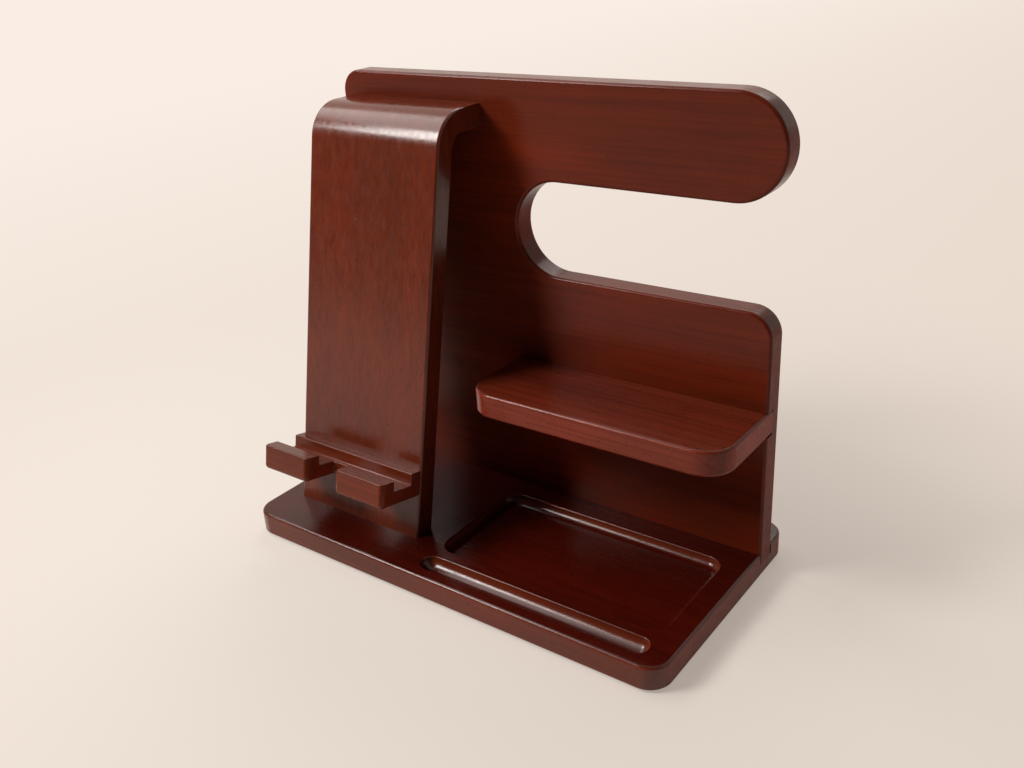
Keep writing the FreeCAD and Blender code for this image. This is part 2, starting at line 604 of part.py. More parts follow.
drill(shelf, shelf_pilot_holes, "Sizes.shelf_screw_diameter + 2 * Sizes.screw_fit",
      "Places.shelf_screw_bite + Sizes.drill_end_gap", away=True)

# ---------------------------------------------------------------- bent phone board
# It leans back from the base, then bends level and meets the panel's face.
phone = new_body("phone_board", "Places.left_edge + Sizes.phone_side_gap",
                 "Places.front_edge + Sizes.phone_front_gap", "Places.base_top")
phone_side = new_sketch(phone, "phone_side", "YZ_Plane")
outline(phone_side, [
    (None, None, None),
    ("phone_foot_depth", None, None),
    ("phone_inner_corner", "phone_under", "phone_bend_radius"),
    ("phone_reach", "phone_under", None),
    ("phone_reach", "phone_top", None),
    ("phone_outer_corner", "phone_top", "phone_outer_radius"),
])
pad(phone, phone_side, "phone_width")
round_over(phone, "phone_arrises", "phone_arris_radius",
           lambda box: flat(box.XLength) and box.ZMax > SAME and box.YMin < mm("phone_reach") - SAME)
phone_pilot_holes = new_sketch(phone, "phone_pilot_holes", "XY_Plane")
circles(phone_pilot_holes, "phone_screw_diameter", phone_screws_at)
drill(phone, phone_pilot_holes, "Sizes.phone_screw_diameter + 2 * Sizes.screw_fit",
      "Places.phone_screw_bite + Sizes.drill_end_gap", away=True)

phone_dowel_holes = new_sketch(phone, "phone_dowel_holes", "XZ_Plane", (None, None, "-phone_reach"))
circles(phone_dowel_holes, "dowel_diameter", dowels_at)
drill(phone, phone_dowel_holes, "Sizes.dowel_diameter + 2 * Sizes.dowel_fit",
      "Places.dowel_phone_bite + Sizes.drill_end_gap", away=True)

# The screws of the rest come square through the leaning board from behind.
rest_screw_places = ("rest_screw_inset", "rest_screw_last")
rest_screw_holes = new_sketch(phone, "rest_screw_holes", "XZ_Plane", (None, None, "-phone_foot_depth"))
rest_screw_holes.AttachmentOffset = Placement(rest_screw_holes.AttachmentOffset.Base, Rotation(X_AXIS, 1))
rest_screw_holes.setExpression("AttachmentOffset.Rotation.Angle", "-Sizes.phone_lean")
circles(rest_screw_holes, "rest_screw_diameter",
        [(across, "rest_screw_back_rise") for across in rest_screw_places])
drill(phone, rest_screw_holes, "Sizes.rest_screw_diameter + 2 * Sizes.screw_fit",
      "Sizes.phone_thickness + Sizes.drill_end_gap", away=True, head="Sizes.rest_screw_head")

# ---------------------------------------------------------------- phone rest
# One milled piece, square to the leaning board: a bar against the board, a ledge, and two fingers that
# keep the phone on it. A notch between the fingers lets a charging cable down.
rest = new_body("phone_rest", "Places.left_edge + Sizes.phone_side_gap",
                "Places.front_edge + Sizes.phone_front_gap", "Places.base_top")
tilt(rest, "-Sizes.phone_lean")
rest_side = new_sketch(rest, "rest_side", "YZ_Plane")
outline(rest_side, [
    (None, "rest_rise", None),
    (None, "bar_top", None),
    ("bar_front", "bar_top", None),
    ("bar_front", "ledge_top", "rest_cove_radius"),
    ("finger_back", "ledge_top", "rest_cove_radius"),
    ("finger_back", "finger_top", None),
    ("finger_front", "finger_top", None),
    ("finger_front", "rest_rise", None),
])
pad(rest, rest_side, "phone_width")
cable_notch = new_sketch(rest, "cable_notch", "XY_Plane")
outline(cable_notch, [
    ("notch_left", "notch_run_out", None),
    ("notch_right", "notch_run_out", None),
    ("notch_right", "notch_back", None),
    ("notch_left", "notch_back", None),
])
notch_cut = rest.newObject("PartDesign::Pocket", "cable_notch_cut")
notch_cut.Profile = cable_notch
notch_cut.Type = "ThroughAll"
notch_cut.Midplane = True
cuts(notch_cut)
round_over(rest, "finger_corners", "finger_corner_radius",
           lambda box: box.YMin < -SAME and (box.ZMax < mm("rest_rise") + SAME
                                             or flat(box.XLength) and box.YMax < mm("finger_front") + SAME))
chamfer(rest, "rest_arrises", "rest_chamfer", lambda box: box.YMin < -SAME)
rest_pilot_holes = new_sketch(rest, "rest_pilot_holes", "XZ_Plane")
circles(rest_pilot_holes, "rest_screw_diameter",
        [(across, "rest_screw_rise") for across in rest_screw_places])
drill(rest, rest_pilot_holes, "Sizes.rest_screw_diameter + 2 * Sizes.screw_fit",
      "Places.rest_screw_bite + Sizes.drill_end_gap", away=True)

# ---------------------------------------------------------------- wood screws
UNDERSIDE = "Places.stand_gap + Sizes.screw_sink"
PHONE_LEFT = "Places.left_edge + Sizes.phone_side_gap + "
PHONE_FOOT = "Places.front_edge + Sizes.phone_front_gap + "
PANEL_LEFT = "Places.left_edge + Sizes.panel_side_gap + "


def wood_screw(label, family, x, y, z, turn=None):
    """Makes a countersunk screw with a 90 degree head, pointing up, then turns it about X."""
    screw = new_body(label, x, y, z)
    if turn:
        tilt(screw, turn)
    profile = new_sketch(screw, label + "_side", "XZ_Plane")
    outline(profile, [
        (None, None, None),
        (f"{family}_head_radius", None, None),
        (f"{family}_radius", f"{family}_head_height", None),
        (f"{family}_radius", f"{family}_shank_end", None),
        (None, f"{family}_length", None),
    ])
    turned = screw.newObject("PartDesign::Revolution", label + "_turned")
    turned.Profile = profile
    turned.ReferenceAxis = (profile, ["V_Axis"])
    turned.Angle = 360
    doc.recompute()
    drive = new_sketch(screw, label + "_drive", "XY_Plane")
    long, short = f"{family}_drive_long", f"{family}_drive_short"
    outline(drive, [
        (long, "-" + short, None), (long, short, None), (short, short, None), (short, long, None),
        ("-" + short, long, None), ("-" + short, short, None), ("-" + long, short, None),
        ("-" + long, "-" + short, None), ("-" + short, "-" + short, None), ("-" + short, "-" + long, None),
        (short, "-" + long, None), (short, "-" + short, None),
    ])
    pocket(screw, drive, f"{family}_drive_depth", away=True)


for place, across in zip(("left", "middle", "right"), panel_screw_places):
    wood_screw(f"panel_screw_{place}", "panel_screw", PANEL_LEFT + ref(across),
               "Places.front_edge + Places.panel_middle", UNDERSIDE)
for place, (across, up) in zip(("left", "right"), phone_screws_at):
    wood_screw(f"phone_screw_{place}", "phone_screw", PHONE_LEFT + ref(across),
               PHONE_FOOT + ref(up), UNDERSIDE)
for place, across in zip(("left", "right"), rest_screw_places):
    wood_screw(f"rest_screw_{place}", "rest_screw", PHONE_LEFT + ref(across),
               PHONE_FOOT + "Places.rest_screw_head_back", "Places.base_top + Places.rest_screw_head_up",
               turn="90 - Sizes.phone_lean")
for place, (across, up) in zip(("left", "right"), shelf_screws_at):
    wood_screw(f"shelf_screw_{place}", "shelf_screw", PANEL_LEFT + "Places.shelf_start + " + ref(across),
               "Places.front_edge + Places.panel_front + Sizes.board_thickness - Sizes.screw_sink",
               "Places.base_top + Sizes.shelf_rise - " + ref(up), turn="90")

# ---------------------------------------------------------------- dowels between phone board and panel
for place, (across, up) in zip(("left", "right"), dowels_at):
    dowel = new_body(f"top_dowel_{place}", PHONE_LEFT + ref(across),
                     "Places.front_edge + Places.panel_front - Places.dowel_phone_bite",
                     "Places.base_top + " + ref(up))
    dowel_end = new_sketch(dowel, f"dowel_{place}_end", "XZ_Plane")
    circles(dowel_end, "dowel_diameter", [(None, None)])
    pad(dowel, dowel_end, "dowel_length", away=True)

# ---------------------------------------------------------------- rubber foot pads
for (across, up), corner in zip(feet_at, ("front_left", "front_right", "back_left", "back_right")):
    foot = new_body(f"foot_pad_{corner}", "Places.left_edge + " + ref(across),
                    "Places.front_edge + " + ref(up), "0")
    disc = new_sketch(foot, f"foot_{corner}_disc", "XY_Plane")
    circles(disc, "foot_diameter", [(None, None)])
    pad(foot, disc, "foot_thickness")

# ---------------------------------------------------------------- check and write
doc.recompute()
failed = [thing.Name for thing in doc.Objects if "Invalid" in thing.State or "Error" in thing.State]
sketches = [thing for thing in doc.Objects if thing.isDerivedFrom("Sketcher::SketchObject")]
loose = [sketch.Name for sketch in sketches if not sketch.FullyConstrained]
if failed or loose:
    raise RuntimeError(f"failed: {failed}, not fully constrained: {loose}")
pieces = [thing for thing in doc.Objects if thing.isDerivedFrom("PartDesign::Body")]
for piece in pieces:
    if piece.Shape.isNull() or not piece.Shape.isValid() or len(piece.Shape.Solids) != 1:
        raise RuntimeError(piece.Label + " is not one sound solid")
os.makedirs("parts", exist_ok=True)
for piece in pieces:
    piece.Shape.exportStep(f"parts/{piece.Label}.step")
    print(f"{piece.Label}: {piece.Shape.Volume / 1000:.2f} cm3")
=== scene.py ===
import math

import bmesh
import bpy
from mathutils import Matrix, Vector

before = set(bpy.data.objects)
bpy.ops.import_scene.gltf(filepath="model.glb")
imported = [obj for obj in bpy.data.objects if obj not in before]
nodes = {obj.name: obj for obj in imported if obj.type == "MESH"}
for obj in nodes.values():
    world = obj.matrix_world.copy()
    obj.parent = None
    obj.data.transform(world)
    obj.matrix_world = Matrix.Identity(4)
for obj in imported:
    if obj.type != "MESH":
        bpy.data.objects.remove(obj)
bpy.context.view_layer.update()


# ------------------------------------------------------------------ base board
# A half-inch mahogany board with a milled tray and a pen groove. It is stained dark red-brown and
# sprayed with satin lacquer, which settles with a faint orange peel and leaves the pores open.

def place(tree, kind, where, **settings):
    """Adds a node to a tree. A setting named after a socket fills it, any other is the node's own."""
    made = tree.nodes.new(kind)
    made.location = where
    for name, value in settings.items():
        socket = made.inputs.get(name.replace("_", " ")) if name[0].isupper() else None
        if socket is None:
            setattr(made, name, value)
        else:
            socket.default_value = value
    return made


def wire(tree, source, target):
    """Joins an output socket to an input socket."""
    tree.links.new(source, target)


def blend_colours(tree, where, factor, first, second, mode="MIX"):
    """Mixes two colours, each a socket or a plain colour, and gives the result's socket."""
    mix = place(tree, "ShaderNodeMix", where, data_type="RGBA", blend_type=mode)
    for socket, value in ((mix.inputs[0], factor), (mix.inputs[6], first), (mix.inputs[7], second)):
        if hasattr(value, "is_output"):
            wire(tree, value, socket)
        else:
            socket.default_value = value
    return mix.outputs[2]


def band(tree, where, value, low, high, to_low=0.0, to_high=1.0, course="SMOOTHSTEP"):
    """Stretches a value from one range to another, held at both ends, and gives the result's socket."""
    ramp = place(tree, "ShaderNodeMapRange", where, interpolation_type=course, clamp=True)
    for name, number in (("From Min", low), ("From Max", high), ("To Min", to_low), ("To Max", to_high)):
        ramp.inputs[name].default_value = number
    wire(tree, value, ramp.inputs["Value"])
    return ramp.outputs["Result"]


def noise(tree, where, vector, per_metre, detail=2.0, roughness=0.5):
    """Draws noise with so many cells to the metre along each axis of the vector."""
    scaled = place(tree, "ShaderNodeVectorMath", where, operation="MULTIPLY")
    wire(tree, vector, scaled.inputs[0])
    scaled.inputs[1].default_value = per_metre
    made = place(tree, "ShaderNodeTexNoise", (where[0] + 180, where[1]), noise_dimensions="3D",
                 Scale=1.0, Detail=detail, Roughness=roughness)
    wire(tree, scaled.outputs[0], made.inputs["Vector"])
    return made.outputs["Fac"]


FIBRE_TO_PEEL = 0.35    # how much of the fibres shows in the lacquer's relief


def mahogany_group():
    """Builds the stained grain, from broad clouds and mottles down to fine fibres and dark pores.

    It also gives how much duller the lacquer is in places, and the height of its orange peel, which
    follows the fibres a little and is broken by the pores.
    """
    group = bpy.data.node_groups.new("stained mahogany", "ShaderNodeTree")
    sockets = [
        ("Along Grain", "INPUT", "NodeSocketVector"),
        ("Red", "INPUT", "NodeSocketColor"),
        ("Brown", "INPUT", "NodeSocketColor"),
        ("Dark", "INPUT", "NodeSocketColor"),
        ("Colour", "OUTPUT", "NodeSocketColor"),
        ("Dullness", "OUTPUT", "NodeSocketFloat"),
        ("Height", "OUTPUT", "NodeSocketFloat"),
    ]
    for name, side, kind in sockets:
        group.interface.new_socket(name, in_out=side, socket_type=kind)
    start = place(group, "NodeGroupInput", (-1400, 0))
    end = place(group, "NodeGroupOutput", (1000, 0))
    along = start.outputs["Along Grain"]

    clouds = noise(group, (-1100, 750), along, (9, 30, 30))
    mottles = noise(group, (-1100, 500), along, (30, 130, 130), detail=3.0, roughness=0.6)
    stripes = noise(group, (-1100, 250), along, (4, 170, 170), detail=3.0, roughness=0.6)
    fibres = noise(group, (-1100, 0), along, (11, 650, 650), detail=3.0, roughness=0.7)
    pores = noise(group, (-1100, -250), along, (300, 1500, 1500), detail=1.0)
    specks = noise(group, (-1100, -500), along, (750, 900, 900), detail=0.0)
    peel = noise(group, (-1100, -750), along, (800, 800, 800), detail=1.0)
    swell = noise(group, (-1100, -1000), along, (110, 320, 320))

    dark = start.outputs["Dark"]
    colour = blend_colours(group, (-600, 750), band(group, (-800, 750), clouds, 0.32, 0.68),
                           start.outputs["Brown"], start.outputs["Red"])
    for row, (pattern, low, high, most) in enumerate((
            (mottles, 0.4, 0.7, 0.15), (stripes, 0.42, 0.75, 0.22), (fibres, 0.35, 0.7, 0.4))):
        share = band(group, (-600, 500 - 250 * row), pattern, low, high, 0.0, most)
        colour = blend_colours(group, (-400 + 150 * row, 600 - 150 * row), share, colour, dark)
    pits = place(group, "ShaderNodeMath", (-400, -250), operation="MAXIMUM")
    wire(group, band(group, (-600, -250), pores, 0.73, 0.8, 0.0, 0.7), pits.inputs[0])
    wire(group, band(group, (-600, -500), specks, 0.79, 0.83), pits.inputs[1])
    wire(group, blend_colours(group, (100, 200), pits.outputs[0], colour, dark), end.inputs["Colour"])

    wire(group, band(group, (-200, -100), swell, 0.3, 0.7, -0.03, 0.05), end.inputs["Dullness"])

    raised = place(group, "ShaderNodeMath", (-200, -400), operation="MULTIPLY_ADD")
    wire(group, fibres, raised.inputs[0])
    raised.inputs[1].default_value = FIBRE_TO_PEEL
    wire(group, peel, raised.inputs[2])
    sunk = place(group, "ShaderNodeMath", (0, -400), operation="SUBTRACT")
    wire(group, raised.outputs[0], sunk.inputs[0])
    wire(group, pits.outputs[0], sunk.inputs[1])
    wire(group, sunk.outputs[0], end.inputs["Height"])
    return group


MAHOGANY = mahogany_group()
RED, BROWN, DARK = (0.165, 0.0240, 0.0070, 1), (0.132, 0.0220, 0.0075, 1), (0.055, 0.0090, 0.0040, 1)
# Painted shade that darkens level faces, and painted light that lightens sawn ends.
LEVEL_PAINTED_SHADE, END_PAINTED_LIGHT = (0.43, 0.20, 0.18, 1), (1.5, 1.25, 1.0, 1)
LEVEL_FACES, END_FACES = (0.6, 0.95), (0.85, 0.98)    # how squarely a face looks along its axis
LACQUER_ROUGHNESS, END_ROUGHNESS = 0.21, 0.46
PEEL_DEPTH = 0.00003


def stained_wood(name, turn=(0, 0, 0), shift=(0, 0, 0), level_painted_shade=None, duller_ends_with_painted_light=True, gloss=0.2,
                 red=RED, brown=BROWN):
    """Makes lacquered mahogany. turn and shift bring the board's grain onto the group's first axis.

    A level shade is painted shade: it darkens the board's level faces against its edges. Sawn ends are
    duller, and painted light makes them lighter. Gloss is how strongly the lacquer mirrors.
    """
    material = bpy.data.materials.new(name)
    material.use_nodes = True
    tree = material.node_tree
    tree.nodes.clear()
    where = place(tree, "ShaderNodeTexCoord", (-1000, 0))
    aligned = place(tree, "ShaderNodeMapping", (-800, 0), Location=shift, Rotation=turn)
    wire(tree, where.outputs["Object"], aligned.inputs["Vector"])
    grain = place(tree, "ShaderNodeGroup", (-550, 0), node_tree=MAHOGANY)
    wire(tree, aligned.outputs["Vector"], grain.inputs["Along Grain"])
    for socket, tone in (("Red", red), ("Brown", brown), ("Dark", DARK)):
        grain.inputs[socket].default_value = tone
    normal = place(tree, "ShaderNodeSeparateXYZ", (-800, 400))
    wire(tree, where.outputs["Normal"], normal.inputs[0])

    def faces_along(axis, row, limits):
        """Gives 1 on the faces that look along an axis, either way, and 0 on the others."""
        size = place(tree, "ShaderNodeMath", (-650, row), operation="ABSOLUTE")
        wire(tree, normal.outputs[axis], size.inputs[0])
        return band(tree, (-500, row), size.outputs[0], *limits)

    colour = grain.outputs["Colour"]
    rough = place(tree, "ShaderNodeMath", (-250, -100), operation="ADD")
    wire(tree, grain.outputs["Dullness"], rough.inputs[0])
    rough.inputs[1].default_value = LACQUER_ROUGHNESS
    # The sawn ends get a rougher lacquer, and painted light that makes them lighter.
    if duller_ends_with_painted_light:
        ends = faces_along("X", 600, END_FACES)
        painted_end_light = blend_colours(tree, (-400, 300), ends, (1, 1, 1, 1), END_PAINTED_LIGHT)
        colour = blend_colours(tree, (-300, 300), 1.0, colour, painted_end_light, mode="MULTIPLY")
        wire(tree, band(tree, (-400, -100), ends, 0.0, 1.0, LACQUER_ROUGHNESS, END_ROUGHNESS, "LINEAR"),
             rough.inputs[1])
    # Painted shade that darkens the level faces against the edges.
    if level_painted_shade:
        colour = blend_colours(tree, (-250, 200), faces_along("Z", 400, LEVEL_FACES), colour,
                               level_painted_shade, mode="MULTIPLY")
    relief = place(tree, "ShaderNodeBump", (-250, -300), Strength=1.0, Distance=PEEL_DEPTH)
    wire(tree, grain.outputs["Height"], relief.inputs["Height"])
    shader = place(tree, "ShaderNodeBsdfPrincipled", (50, 0), Specular_IOR_Level=gloss)
    wire(tree, colour, shader.inputs["Base Color"])
    wire(tree, rough.outputs[0], shader.inputs["Roughness"])
    wire(tree, relief.outputs["Normal"], shader.inputs["Normal"])
    out = place(tree, "ShaderNodeOutputMaterial", (350, 0))
    wire(tree, shader.outputs["BSDF"], out.inputs["Surface"])
    return material


JOIN_WITHIN = 0.000002
IN_ONE_PLANE = math.radians(0.3)    # faces that turn less from each other lie in one plane
CORNER = math.radians(50)           # an edge that turns more stays a sharp corner


def flat_and_rounded_group():
    """Builds the modifier that shades a board: its flats stay flat, and rounded arrises run into them.

    A vertex takes its normal from the faces round it, each weighed by its angle there and by the square
    of the area of the plane that it belongs to, so that a flat outweighs the strips of an arris.
    """
    group = bpy.data.node_groups.new("flats and rounded arrises", "GeometryNodeTree")
    for side in ("INPUT", "OUTPUT"):
        group.interface.new_socket("Board", in_out=side, socket_type="NodeSocketGeometry")
    start = place(group, "NodeGroupInput", (-1400, 0))
    end = place(group, "NodeGroupOutput", (1200, 0))
    joined = place(group, "GeometryNodeMergeByDistance", (-1200, 0), Distance=JOIN_WITHIN)
    wire(group, start.outputs["Board"], joined.inputs["Geometry"])
    turn = place(group, "GeometryNodeInputMeshEdgeAngle", (-1200, -300)).outputs["Unsigned Angle"]

    split = []
    for number, limit in enumerate((CORNER, IN_ONE_PLANE)):
        bent = place(group, "FunctionNodeCompare", (-1000 + 400 * number, -200), data_type="FLOAT",
                     operation="GREATER_THAN")
        wire(group, turn, bent.inputs["A"])
        bent.inputs["B"].default_value = limit
        parted = place(group, "GeometryNodeSplitEdges", (-800 + 400 * number, 0))
        wire(group, split[-1] if split else joined.outputs["Geometry"], parted.inputs["Mesh"])
        wire(group, bent.outputs["Result"], parted.inputs["Selection"])
        split.append(parted.outputs["Mesh"])
    corners_parted, planes_parted = split

    which = place(group, "GeometryNodeSampleIndex", (-200, -200), data_type="INT", domain="FACE")
    wire(group, planes_parted, which.inputs["Geometry"])
    plane = place(group, "GeometryNodeInputMeshIsland", (-400, -400))
    wire(group, plane.outputs["Island Index"], which.inputs["Value"])
    face = place(group, "GeometryNodeInputIndex", (-400, -500))
    wire(group, face.outputs["Index"], which.inputs["Index"])
    size = place(group, "GeometryNodeAccumulateField", (0, -200), data_type="FLOAT", domain="FACE")
    area = place(group, "GeometryNodeInputMeshFaceArea", (-200, -500))
    wire(group, area.outputs["Area"], size.inputs["Value"])
    wire(group, which.outputs["Value"], size.inputs["Group ID"])

    def vertex_beside(step):
        """Gives the vertex that lies so many corners on round the same face, and its position."""
        corner = place(group, "GeometryNodeOffsetCornerInFace", (-600, -700 - 200 * step), Offset=step)
        vertex = place(group, "GeometryNodeVertexOfCorner", (-400, -700 - 200 * step))
        wire(group, corner.outputs["Corner Index"], vertex.inputs["Corner Index"])
        spot = place(group, "GeometryNodeFieldAtIndex", (-200, -700 - 200 * step),
                     data_type="FLOAT_VECTOR", domain="POINT")
        position = place(group, "GeometryNodeInputPosition", (-400, -650))
        wire(group, position.outputs["Position"], spot.inputs["Value"])
        wire(group, vertex.outputs["Vertex Index"], spot.inputs["Index"])
        return vertex.outputs["Vertex Index"], spot.outputs["Value"]

    vertex, here = vertex_beside(0)
    sides = []
    for step in (1, -1):
        side = place(group, "ShaderNodeVectorMath", (0, -700 - 200 * step), operation="SUBTRACT")
        wire(group, vertex_beside(step)[1], side.inputs[0])
        wire(group, here, side.inputs[1])
        unit = place(group, "ShaderNodeVectorMath", (200, -700 - 200 * step), operation="NORMALIZE")
        wire(group, side.outputs[0], unit.inputs[0])
        sides.append(unit.outputs[0])
    cosine = place(group, "ShaderNodeVectorMath", (400, -700), operation="DOT_PRODUCT")
    wire(group, sides[0], cosine.inputs[0])
    wire(group, sides[1], cosine.inputs[1])
    angle = place(group, "ShaderNodeMath", (600, -700), operation="ARCCOSINE")
    wire(group, cosine.outputs["Value"], angle.inputs[0])

    weight = angle.outputs[0]
    for number in range(2):    # twice, for the square of the area
        product = place(group, "ShaderNodeMath", (200 + 200 * number, -400), operation="MULTIPLY")
        wire(group, weight, product.inputs[0])
        wire(group, size.outputs["Total"], product.inputs[1])
        weight = product.outputs[0]
    facing = place(group, "GeometryNodeFieldOnDomain", (500, -550), data_type="FLOAT_VECTOR",
                   domain="FACE")
    face_normal = place(group, "GeometryNodeInputNormal", (400, -550))
    wire(group, face_normal.outputs["Normal"], facing.inputs["Value"])
    pull = place(group, "ShaderNodeVectorMath", (600, -300), operation="SCALE")
    wire(group, facing.outputs["Value"], pull.inputs[0])
    wire(group, weight, pull.inputs["Scale"])
    face_pull = place(group, "GeometryNodeAccumulateField", (800, -300), data_type="FLOAT_VECTOR",
                      domain="CORNER")
    wire(group, pull.outputs[0], face_pull.inputs["Value"])
    wire(group, vertex, face_pull.inputs["Group ID"])
    shaded = place(group, "ShaderNodeVectorMath", (1000, -300), operation="NORMALIZE")
    wire(group, face_pull.outputs["Total"], shaded.inputs[0])
    finish = place(group, "GeometryNodeSetMeshNormal", (1000, 0), mode="FREE", domain="CORNER")
    wire(group, corners_parted, finish.inputs["Mesh"])
    wire(group, shaded.outputs[0], finish.inputs["Custom Normal"])
    wire(group, finish.outputs["Mesh"], end.inputs["Board"])
    return group


FLATS_AND_ROUNDED = flat_and_rounded_group()


def dress(node, material):
    """Gives a piece its finish and shades its flats and rounded arrises."""
    piece = nodes[node]
    for slot in piece.material_slots:
        slot.material = material
    piece.modifiers.new("flats and rounded arrises", "NODES").node_group = FLATS_AND_ROUNDED


# Painted shade darkens the base's level faces, the tray floor among them.
dress("base_board", stained_wood("base_wood", level_painted_shade=LEVEL_PAINTED_SHADE, gloss=0.34))

# ------------------------------------------------------------------ back panel
# The same half-inch board, stood upright in the base's dado with its grain lying level. The slot
# below the arm is sawn out, and all its edges are rounded over with a router.
dress("back_panel", stained_wood("panel_wood", shift=(0.31, 0.07, 0.13), gloss=0.16,
                                 red=(0.162, 0.0175, 0.0040, 1), brown=(0.120, 0.0160, 0.0045, 1)))

# ------------------------------------------------------------------ shelf
# A short board of the same wood with rounded front corners, let into a dado across the panel. Its red is
# lighter, and its level faces get a milder painted shade than the base's.
dress("shelf", stained_wood("shelf_wood", shift=(0.77, 0.41, 0.23), gloss=0.22,
                            level_painted_shade=(0.70, 0.70, 0.70, 1),
                            red=(0.245, 0.0320, 0.0125, 1), brown=(0.205, 0.0300, 0.0130, 1)))

# ------------------------------------------------------------------ phone board
# A leaning board of bent mahogany, level at its top, where it meets the panel. Its grain runs up the
# board and round the bend, and its lacquer is the glossiest.
UPRIGHT = (0, math.pi / 2, 0)
dress("phone_board", stained_wood("phone_board_wood", turn=UPRIGHT, shift=(0.19, 0.55, 0.37),
                                  duller_ends_with_painted_light=False, gloss=0.42))

# ------------------------------------------------------------------ phone rest
# The bar, the ledge and two fingers that hold the phone, milled from one piece of mahogany and screwed
# on from behind. A notch between the fingers lets the charging cable down.
dress("phone_rest", stained_wood("rest_wood", shift=(0.53, 0.29, 0.61), gloss=0.24))


# ------------------------------------------------------------------ dowels and screws
# Bare beech dowels hold the phone board's level end to the panel. Zinc-plated steel screws with
# countersunk heads hold the other joints.
DARKEST, UNEVEN = 0.7, 0.06


def plain_finish(name, colour, roughness, metallic=0.0):
    """Makes a plain finish whose shade and roughness are a little uneven."""
    material = bpy.data.materials.new(name)
    material.use_nodes = True
    tree = material.node_tree
    tree.nodes.clear()
    where = place(tree, "ShaderNodeTexCoord", (-900, 0))
    patches = noise(tree, (-700, 0), where.outputs["Object"], (400, 400, 400), detail=3.0)
    darkest = tuple(DARKEST * part for part in colour[:3]) + (1,)
    shade = blend_colours(tree, (-200, 100), band(tree, (-400, 0), patches, 0.3, 0.7), colour, darkest)
    shader = place(tree, "ShaderNodeBsdfPrincipled", (50, 0), Metallic=metallic)
    wire(tree, shade, shader.inputs["Base Color"])
    rough = band(tree, (-200, -200), patches, 0.3, 0.7, roughness - UNEVEN, roughness + UNEVEN)
    wire(tree, rough, shader.inputs["Roughness"])
    out = place(tree, "ShaderNodeOutputMaterial", (350, 0))
    wire(tree, shader.outputs["BSDF"], out.inputs["Surface"])
    return material


beech = plain_finish("dowel_wood", (0.55, 0.36, 0.20, 1), 0.6)
zinc = plain_finish("screw_steel", (0.62, 0.60, 0.55, 1), 0.32, metallic=1.0)
for node in sorted(nodes):
    if "_dowel_" in node:
        dress(node, beech)
    elif "_screw_" in node:
        dress(node, zinc)

# ------------------------------------------------------------------ foot pads
# Four matt black rubber discs, glued into shallow recesses under the base, which they hold just
# clear of the table.
rubber = plain_finish("foot_rubber", (0.015, 0.015, 0.015, 1), 0.75)
for node in sorted(nodes):
    if node.startswith("foot_pad_"):
        dress(node, rubber)

# ------------------------------------------------------------------ floor
# A plain matt floor. It ends in front, where the room is darker, and runs far out behind. Away from
# the station it turns into an even pale tone, lightest at the left.
FLOOR_NEAR, FLOOR_FAR, FLOOR_SIDE = -2.6, 14.0, 9.0
EVEN_FROM, EVEN_AT, LEAST_EVEN = 0.12, 0.5, 0.46
TONE_LEFT, TONE_RIGHT = -1.6, 0.9
PALE = (0.82, 0.765, 0.71, 1)
FAR_LEFT, FAR_RIGHT = (0.95, 0.85, 0.775, 1), (0.79, 0.67, 0.585, 1)


def seen_directly(tree, where):
    """Gives 1 to the rays that show a surface as it is: the camera's, and mirrored or refracted ones."""
    rays = place(tree, "ShaderNodeLightPath", where)
    first = place(tree, "ShaderNodeMath", (where[0] + 180, where[1]), operation="MAXIMUM")
    wire(tree, rays.outputs["Is Camera Ray"], first.inputs[0])
    wire(tree, rays.outputs["Is Glossy Ray"], first.inputs[1])
    both = place(tree, "ShaderNodeMath", (where[0] + 360, where[1]), operation="MAXIMUM")
    wire(tree, first.outputs[0], both.inputs[0])
    wire(tree, rays.outputs["Is Transmission Ray"], both.inputs[1])
    return both.outputs[0]


floor_mesh = bpy.data.meshes.new("floor")
shape = bmesh.new()
shape.faces.new([shape.verts.new((x, y, 0)) for x, y in (
    (-FLOOR_SIDE, FLOOR_NEAR), (FLOOR_SIDE, FLOOR_NEAR),
    (FLOOR_SIDE, FLOOR_FAR), (-FLOOR_SIDE, FLOOR_FAR))])
shape.to_mesh(floor_mesh)
shape.free()
floor = bpy.data.objects.new("floor", floor_mesh)
bpy.context.scene.collection.objects.link(floor)

ground = bpy.data.materials.new("pale floor")
ground.use_nodes = True
tree = ground.node_tree
tree.nodes.clear()
where = place(tree, "ShaderNodeTexCoord", (-1000, 0))
away = place(tree, "ShaderNodeVectorMath", (-800, 0), operation="LENGTH")
wire(tree, where.outputs["Object"], away.inputs[0])
fade = band(tree, (-600, 0), away.outputs["Value"], EVEN_FROM, EVEN_AT, LEAST_EVEN, 1.0)
sides = place(tree, "ShaderNodeSeparateXYZ", (-800, -300))
wire(tree, where.outputs["Object"], sides.inputs[0])
across_it = band(tree, (-600, -300), sides.outputs["X"], TONE_LEFT, TONE_RIGHT)
far_tone = blend_colours(tree, (-400, -300), across_it, FAR_LEFT, FAR_RIGHT)
share = place(tree, "ShaderNodeMath", (-200, 200), operation="MULTIPLY")
wire(tree, fade, share.inputs[0])
wire(tree, seen_directly(tree, (-600, 300)), share.inputs[1])
matt = place(tree, "ShaderNodeBsdfPrincipled", (-200, 0), Base_Color=PALE, Roughness=0.95,
             Specular_IOR_Level=0.05)
even = place(tree, "ShaderNodeEmission", (-200, -300), Strength=1.0)
wire(tree, far_tone, even.inputs["Color"])
mixed = place(tree, "ShaderNodeMixShader", (200, 0))
wire(tree, share.outputs[0], mixed.inputs[0])
wire(tree, matt.outputs[0], mixed.inputs[1])
wire(tree, even.outputs[0], mixed.inputs[2])
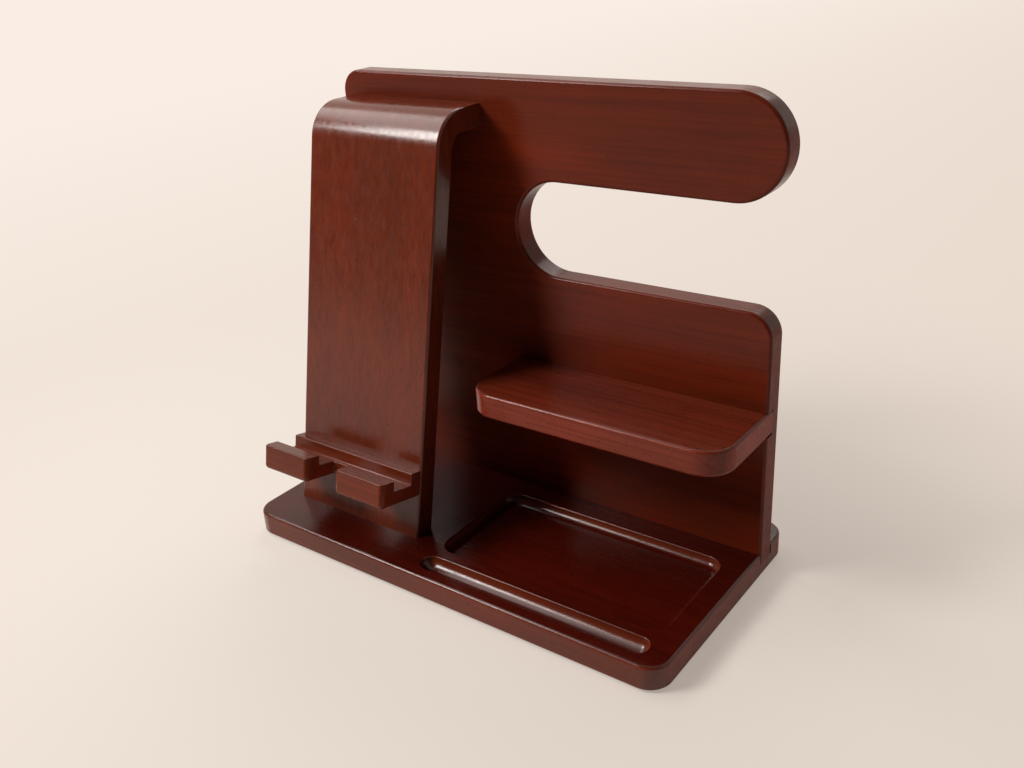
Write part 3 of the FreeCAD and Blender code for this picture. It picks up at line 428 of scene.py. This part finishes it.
floor_out = place(tree, "ShaderNodeOutputMaterial", (400, 0))
wire(tree, mixed.outputs[0], floor_out.inputs["Surface"])
floor_mesh.materials.append(ground)

# ------------------------------------------------------------------ light
# A soft light at the front left like a window, a broader one higher up at the left, and one behind.
# The room is pale, but the lacquer mirrors it dark towards the front, where the viewer is.
MIDDLE = Vector((0, 0, 0.1))
WARM = (1.0, 0.965, 0.93)


def soft_light(name, azimuth, elevation, distance, width, height, watts):
    """Hangs a rectangular soft light and points it at the middle of the station.

    The azimuth is counted from the front to the left. It and the elevation are in degrees.
    """
    azimuth, elevation = math.radians(azimuth), math.radians(elevation)
    direction = Vector((-math.sin(azimuth) * math.cos(elevation),
                        -math.cos(azimuth) * math.cos(elevation), math.sin(elevation)))
    lamp = bpy.data.lights.new(name, "AREA")
    lamp.shape = "RECTANGLE"
    lamp.size, lamp.size_y = width, height
    lamp.energy = watts
    lamp.color = WARM
    hung = bpy.data.objects.new(name, lamp)
    hung.location = direction * distance
    hung.rotation_euler = (MIDDLE - hung.location).to_track_quat("-Z", "Y").to_euler()
    bpy.context.scene.collection.objects.link(hung)


soft_light("window", azimuth=45, elevation=38.5, distance=1.6, width=0.48, height=0.42, watts=17)
soft_light("high left", azimuth=72, elevation=54, distance=1.7, width=1.4, height=0.72, watts=13.5)
soft_light("behind", azimuth=165, elevation=48, distance=1.9, width=1.3, height=0.8, watts=10)

AMBIENT = 0.08
DARK_ROOM, PALE_ROOM = (0.07, 0.06, 0.06, 1), (0.93, 0.83, 0.745, 1)
DARK_UP_TO, PALE_FROM = -0.6, 0.4    # how far towards the back a direction points
world = bpy.data.worlds.new("studio")
bpy.context.scene.world = world
world.use_nodes = True
sky = world.node_tree
sky.nodes.clear()
looking = place(sky, "ShaderNodeTexCoord", (-800, 0))
parts = place(sky, "ShaderNodeSeparateXYZ", (-600, 0))
wire(sky, looking.outputs["Generated"], parts.inputs[0])
towards_back = band(sky, (-400, 0), parts.outputs["Y"], DARK_UP_TO, PALE_FROM)
tone = blend_colours(sky, (-200, 0), towards_back, DARK_ROOM, PALE_ROOM)
rays = place(sky, "ShaderNodeLightPath", (-400, 300))
shown = blend_colours(sky, (-100, 0), rays.outputs["Is Camera Ray"], tone, PALE_ROOM)
strength = band(sky, (-200, -300), seen_directly(sky, (-800, -300)), 0.0, 1.0, AMBIENT, 1.0)
glow = place(sky, "ShaderNodeBackground", (0, 0))
wire(sky, shown, glow.inputs["Color"])
wire(sky, strength, glow.inputs["Strength"])
sky_out = place(sky, "ShaderNodeOutputWorld", (200, 0))
wire(sky, glow.outputs[0], sky_out.inputs["Surface"])

# ------------------------------------------------------------------ camera
# A mild wide-angle lens a little over half a metre away, looking down from the front right and
# tilted slightly to one side.
EYE = Vector((0.28407, -0.36149, 0.30307))
AZIMUTH, ELEVATION, ROLL = math.radians(37.61), math.radians(24.81), math.radians(-3.59)
camera_data = bpy.data.cameras.new("camera")
camera_data.lens = 36.10
camera_data.sensor_width = 36.0
camera = bpy.data.objects.new("camera", camera_data)
back = Vector((math.sin(AZIMUTH) * math.cos(ELEVATION), -math.cos(AZIMUTH) * math.cos(ELEVATION),
               math.sin(ELEVATION)))
across = Vector((math.cos(AZIMUTH), math.sin(AZIMUTH), 0))
axes = Matrix((across, back.cross(across), back)).transposed()
camera.matrix_world = Matrix.Translation(EYE) @ (axes @ Matrix.Rotation(ROLL, 3, "Z")).to_4x4()
bpy.context.scene.collection.objects.link(camera)
bpy.context.scene.camera = camera
bpy.context.scene.view_settings.view_transform = "Standard"
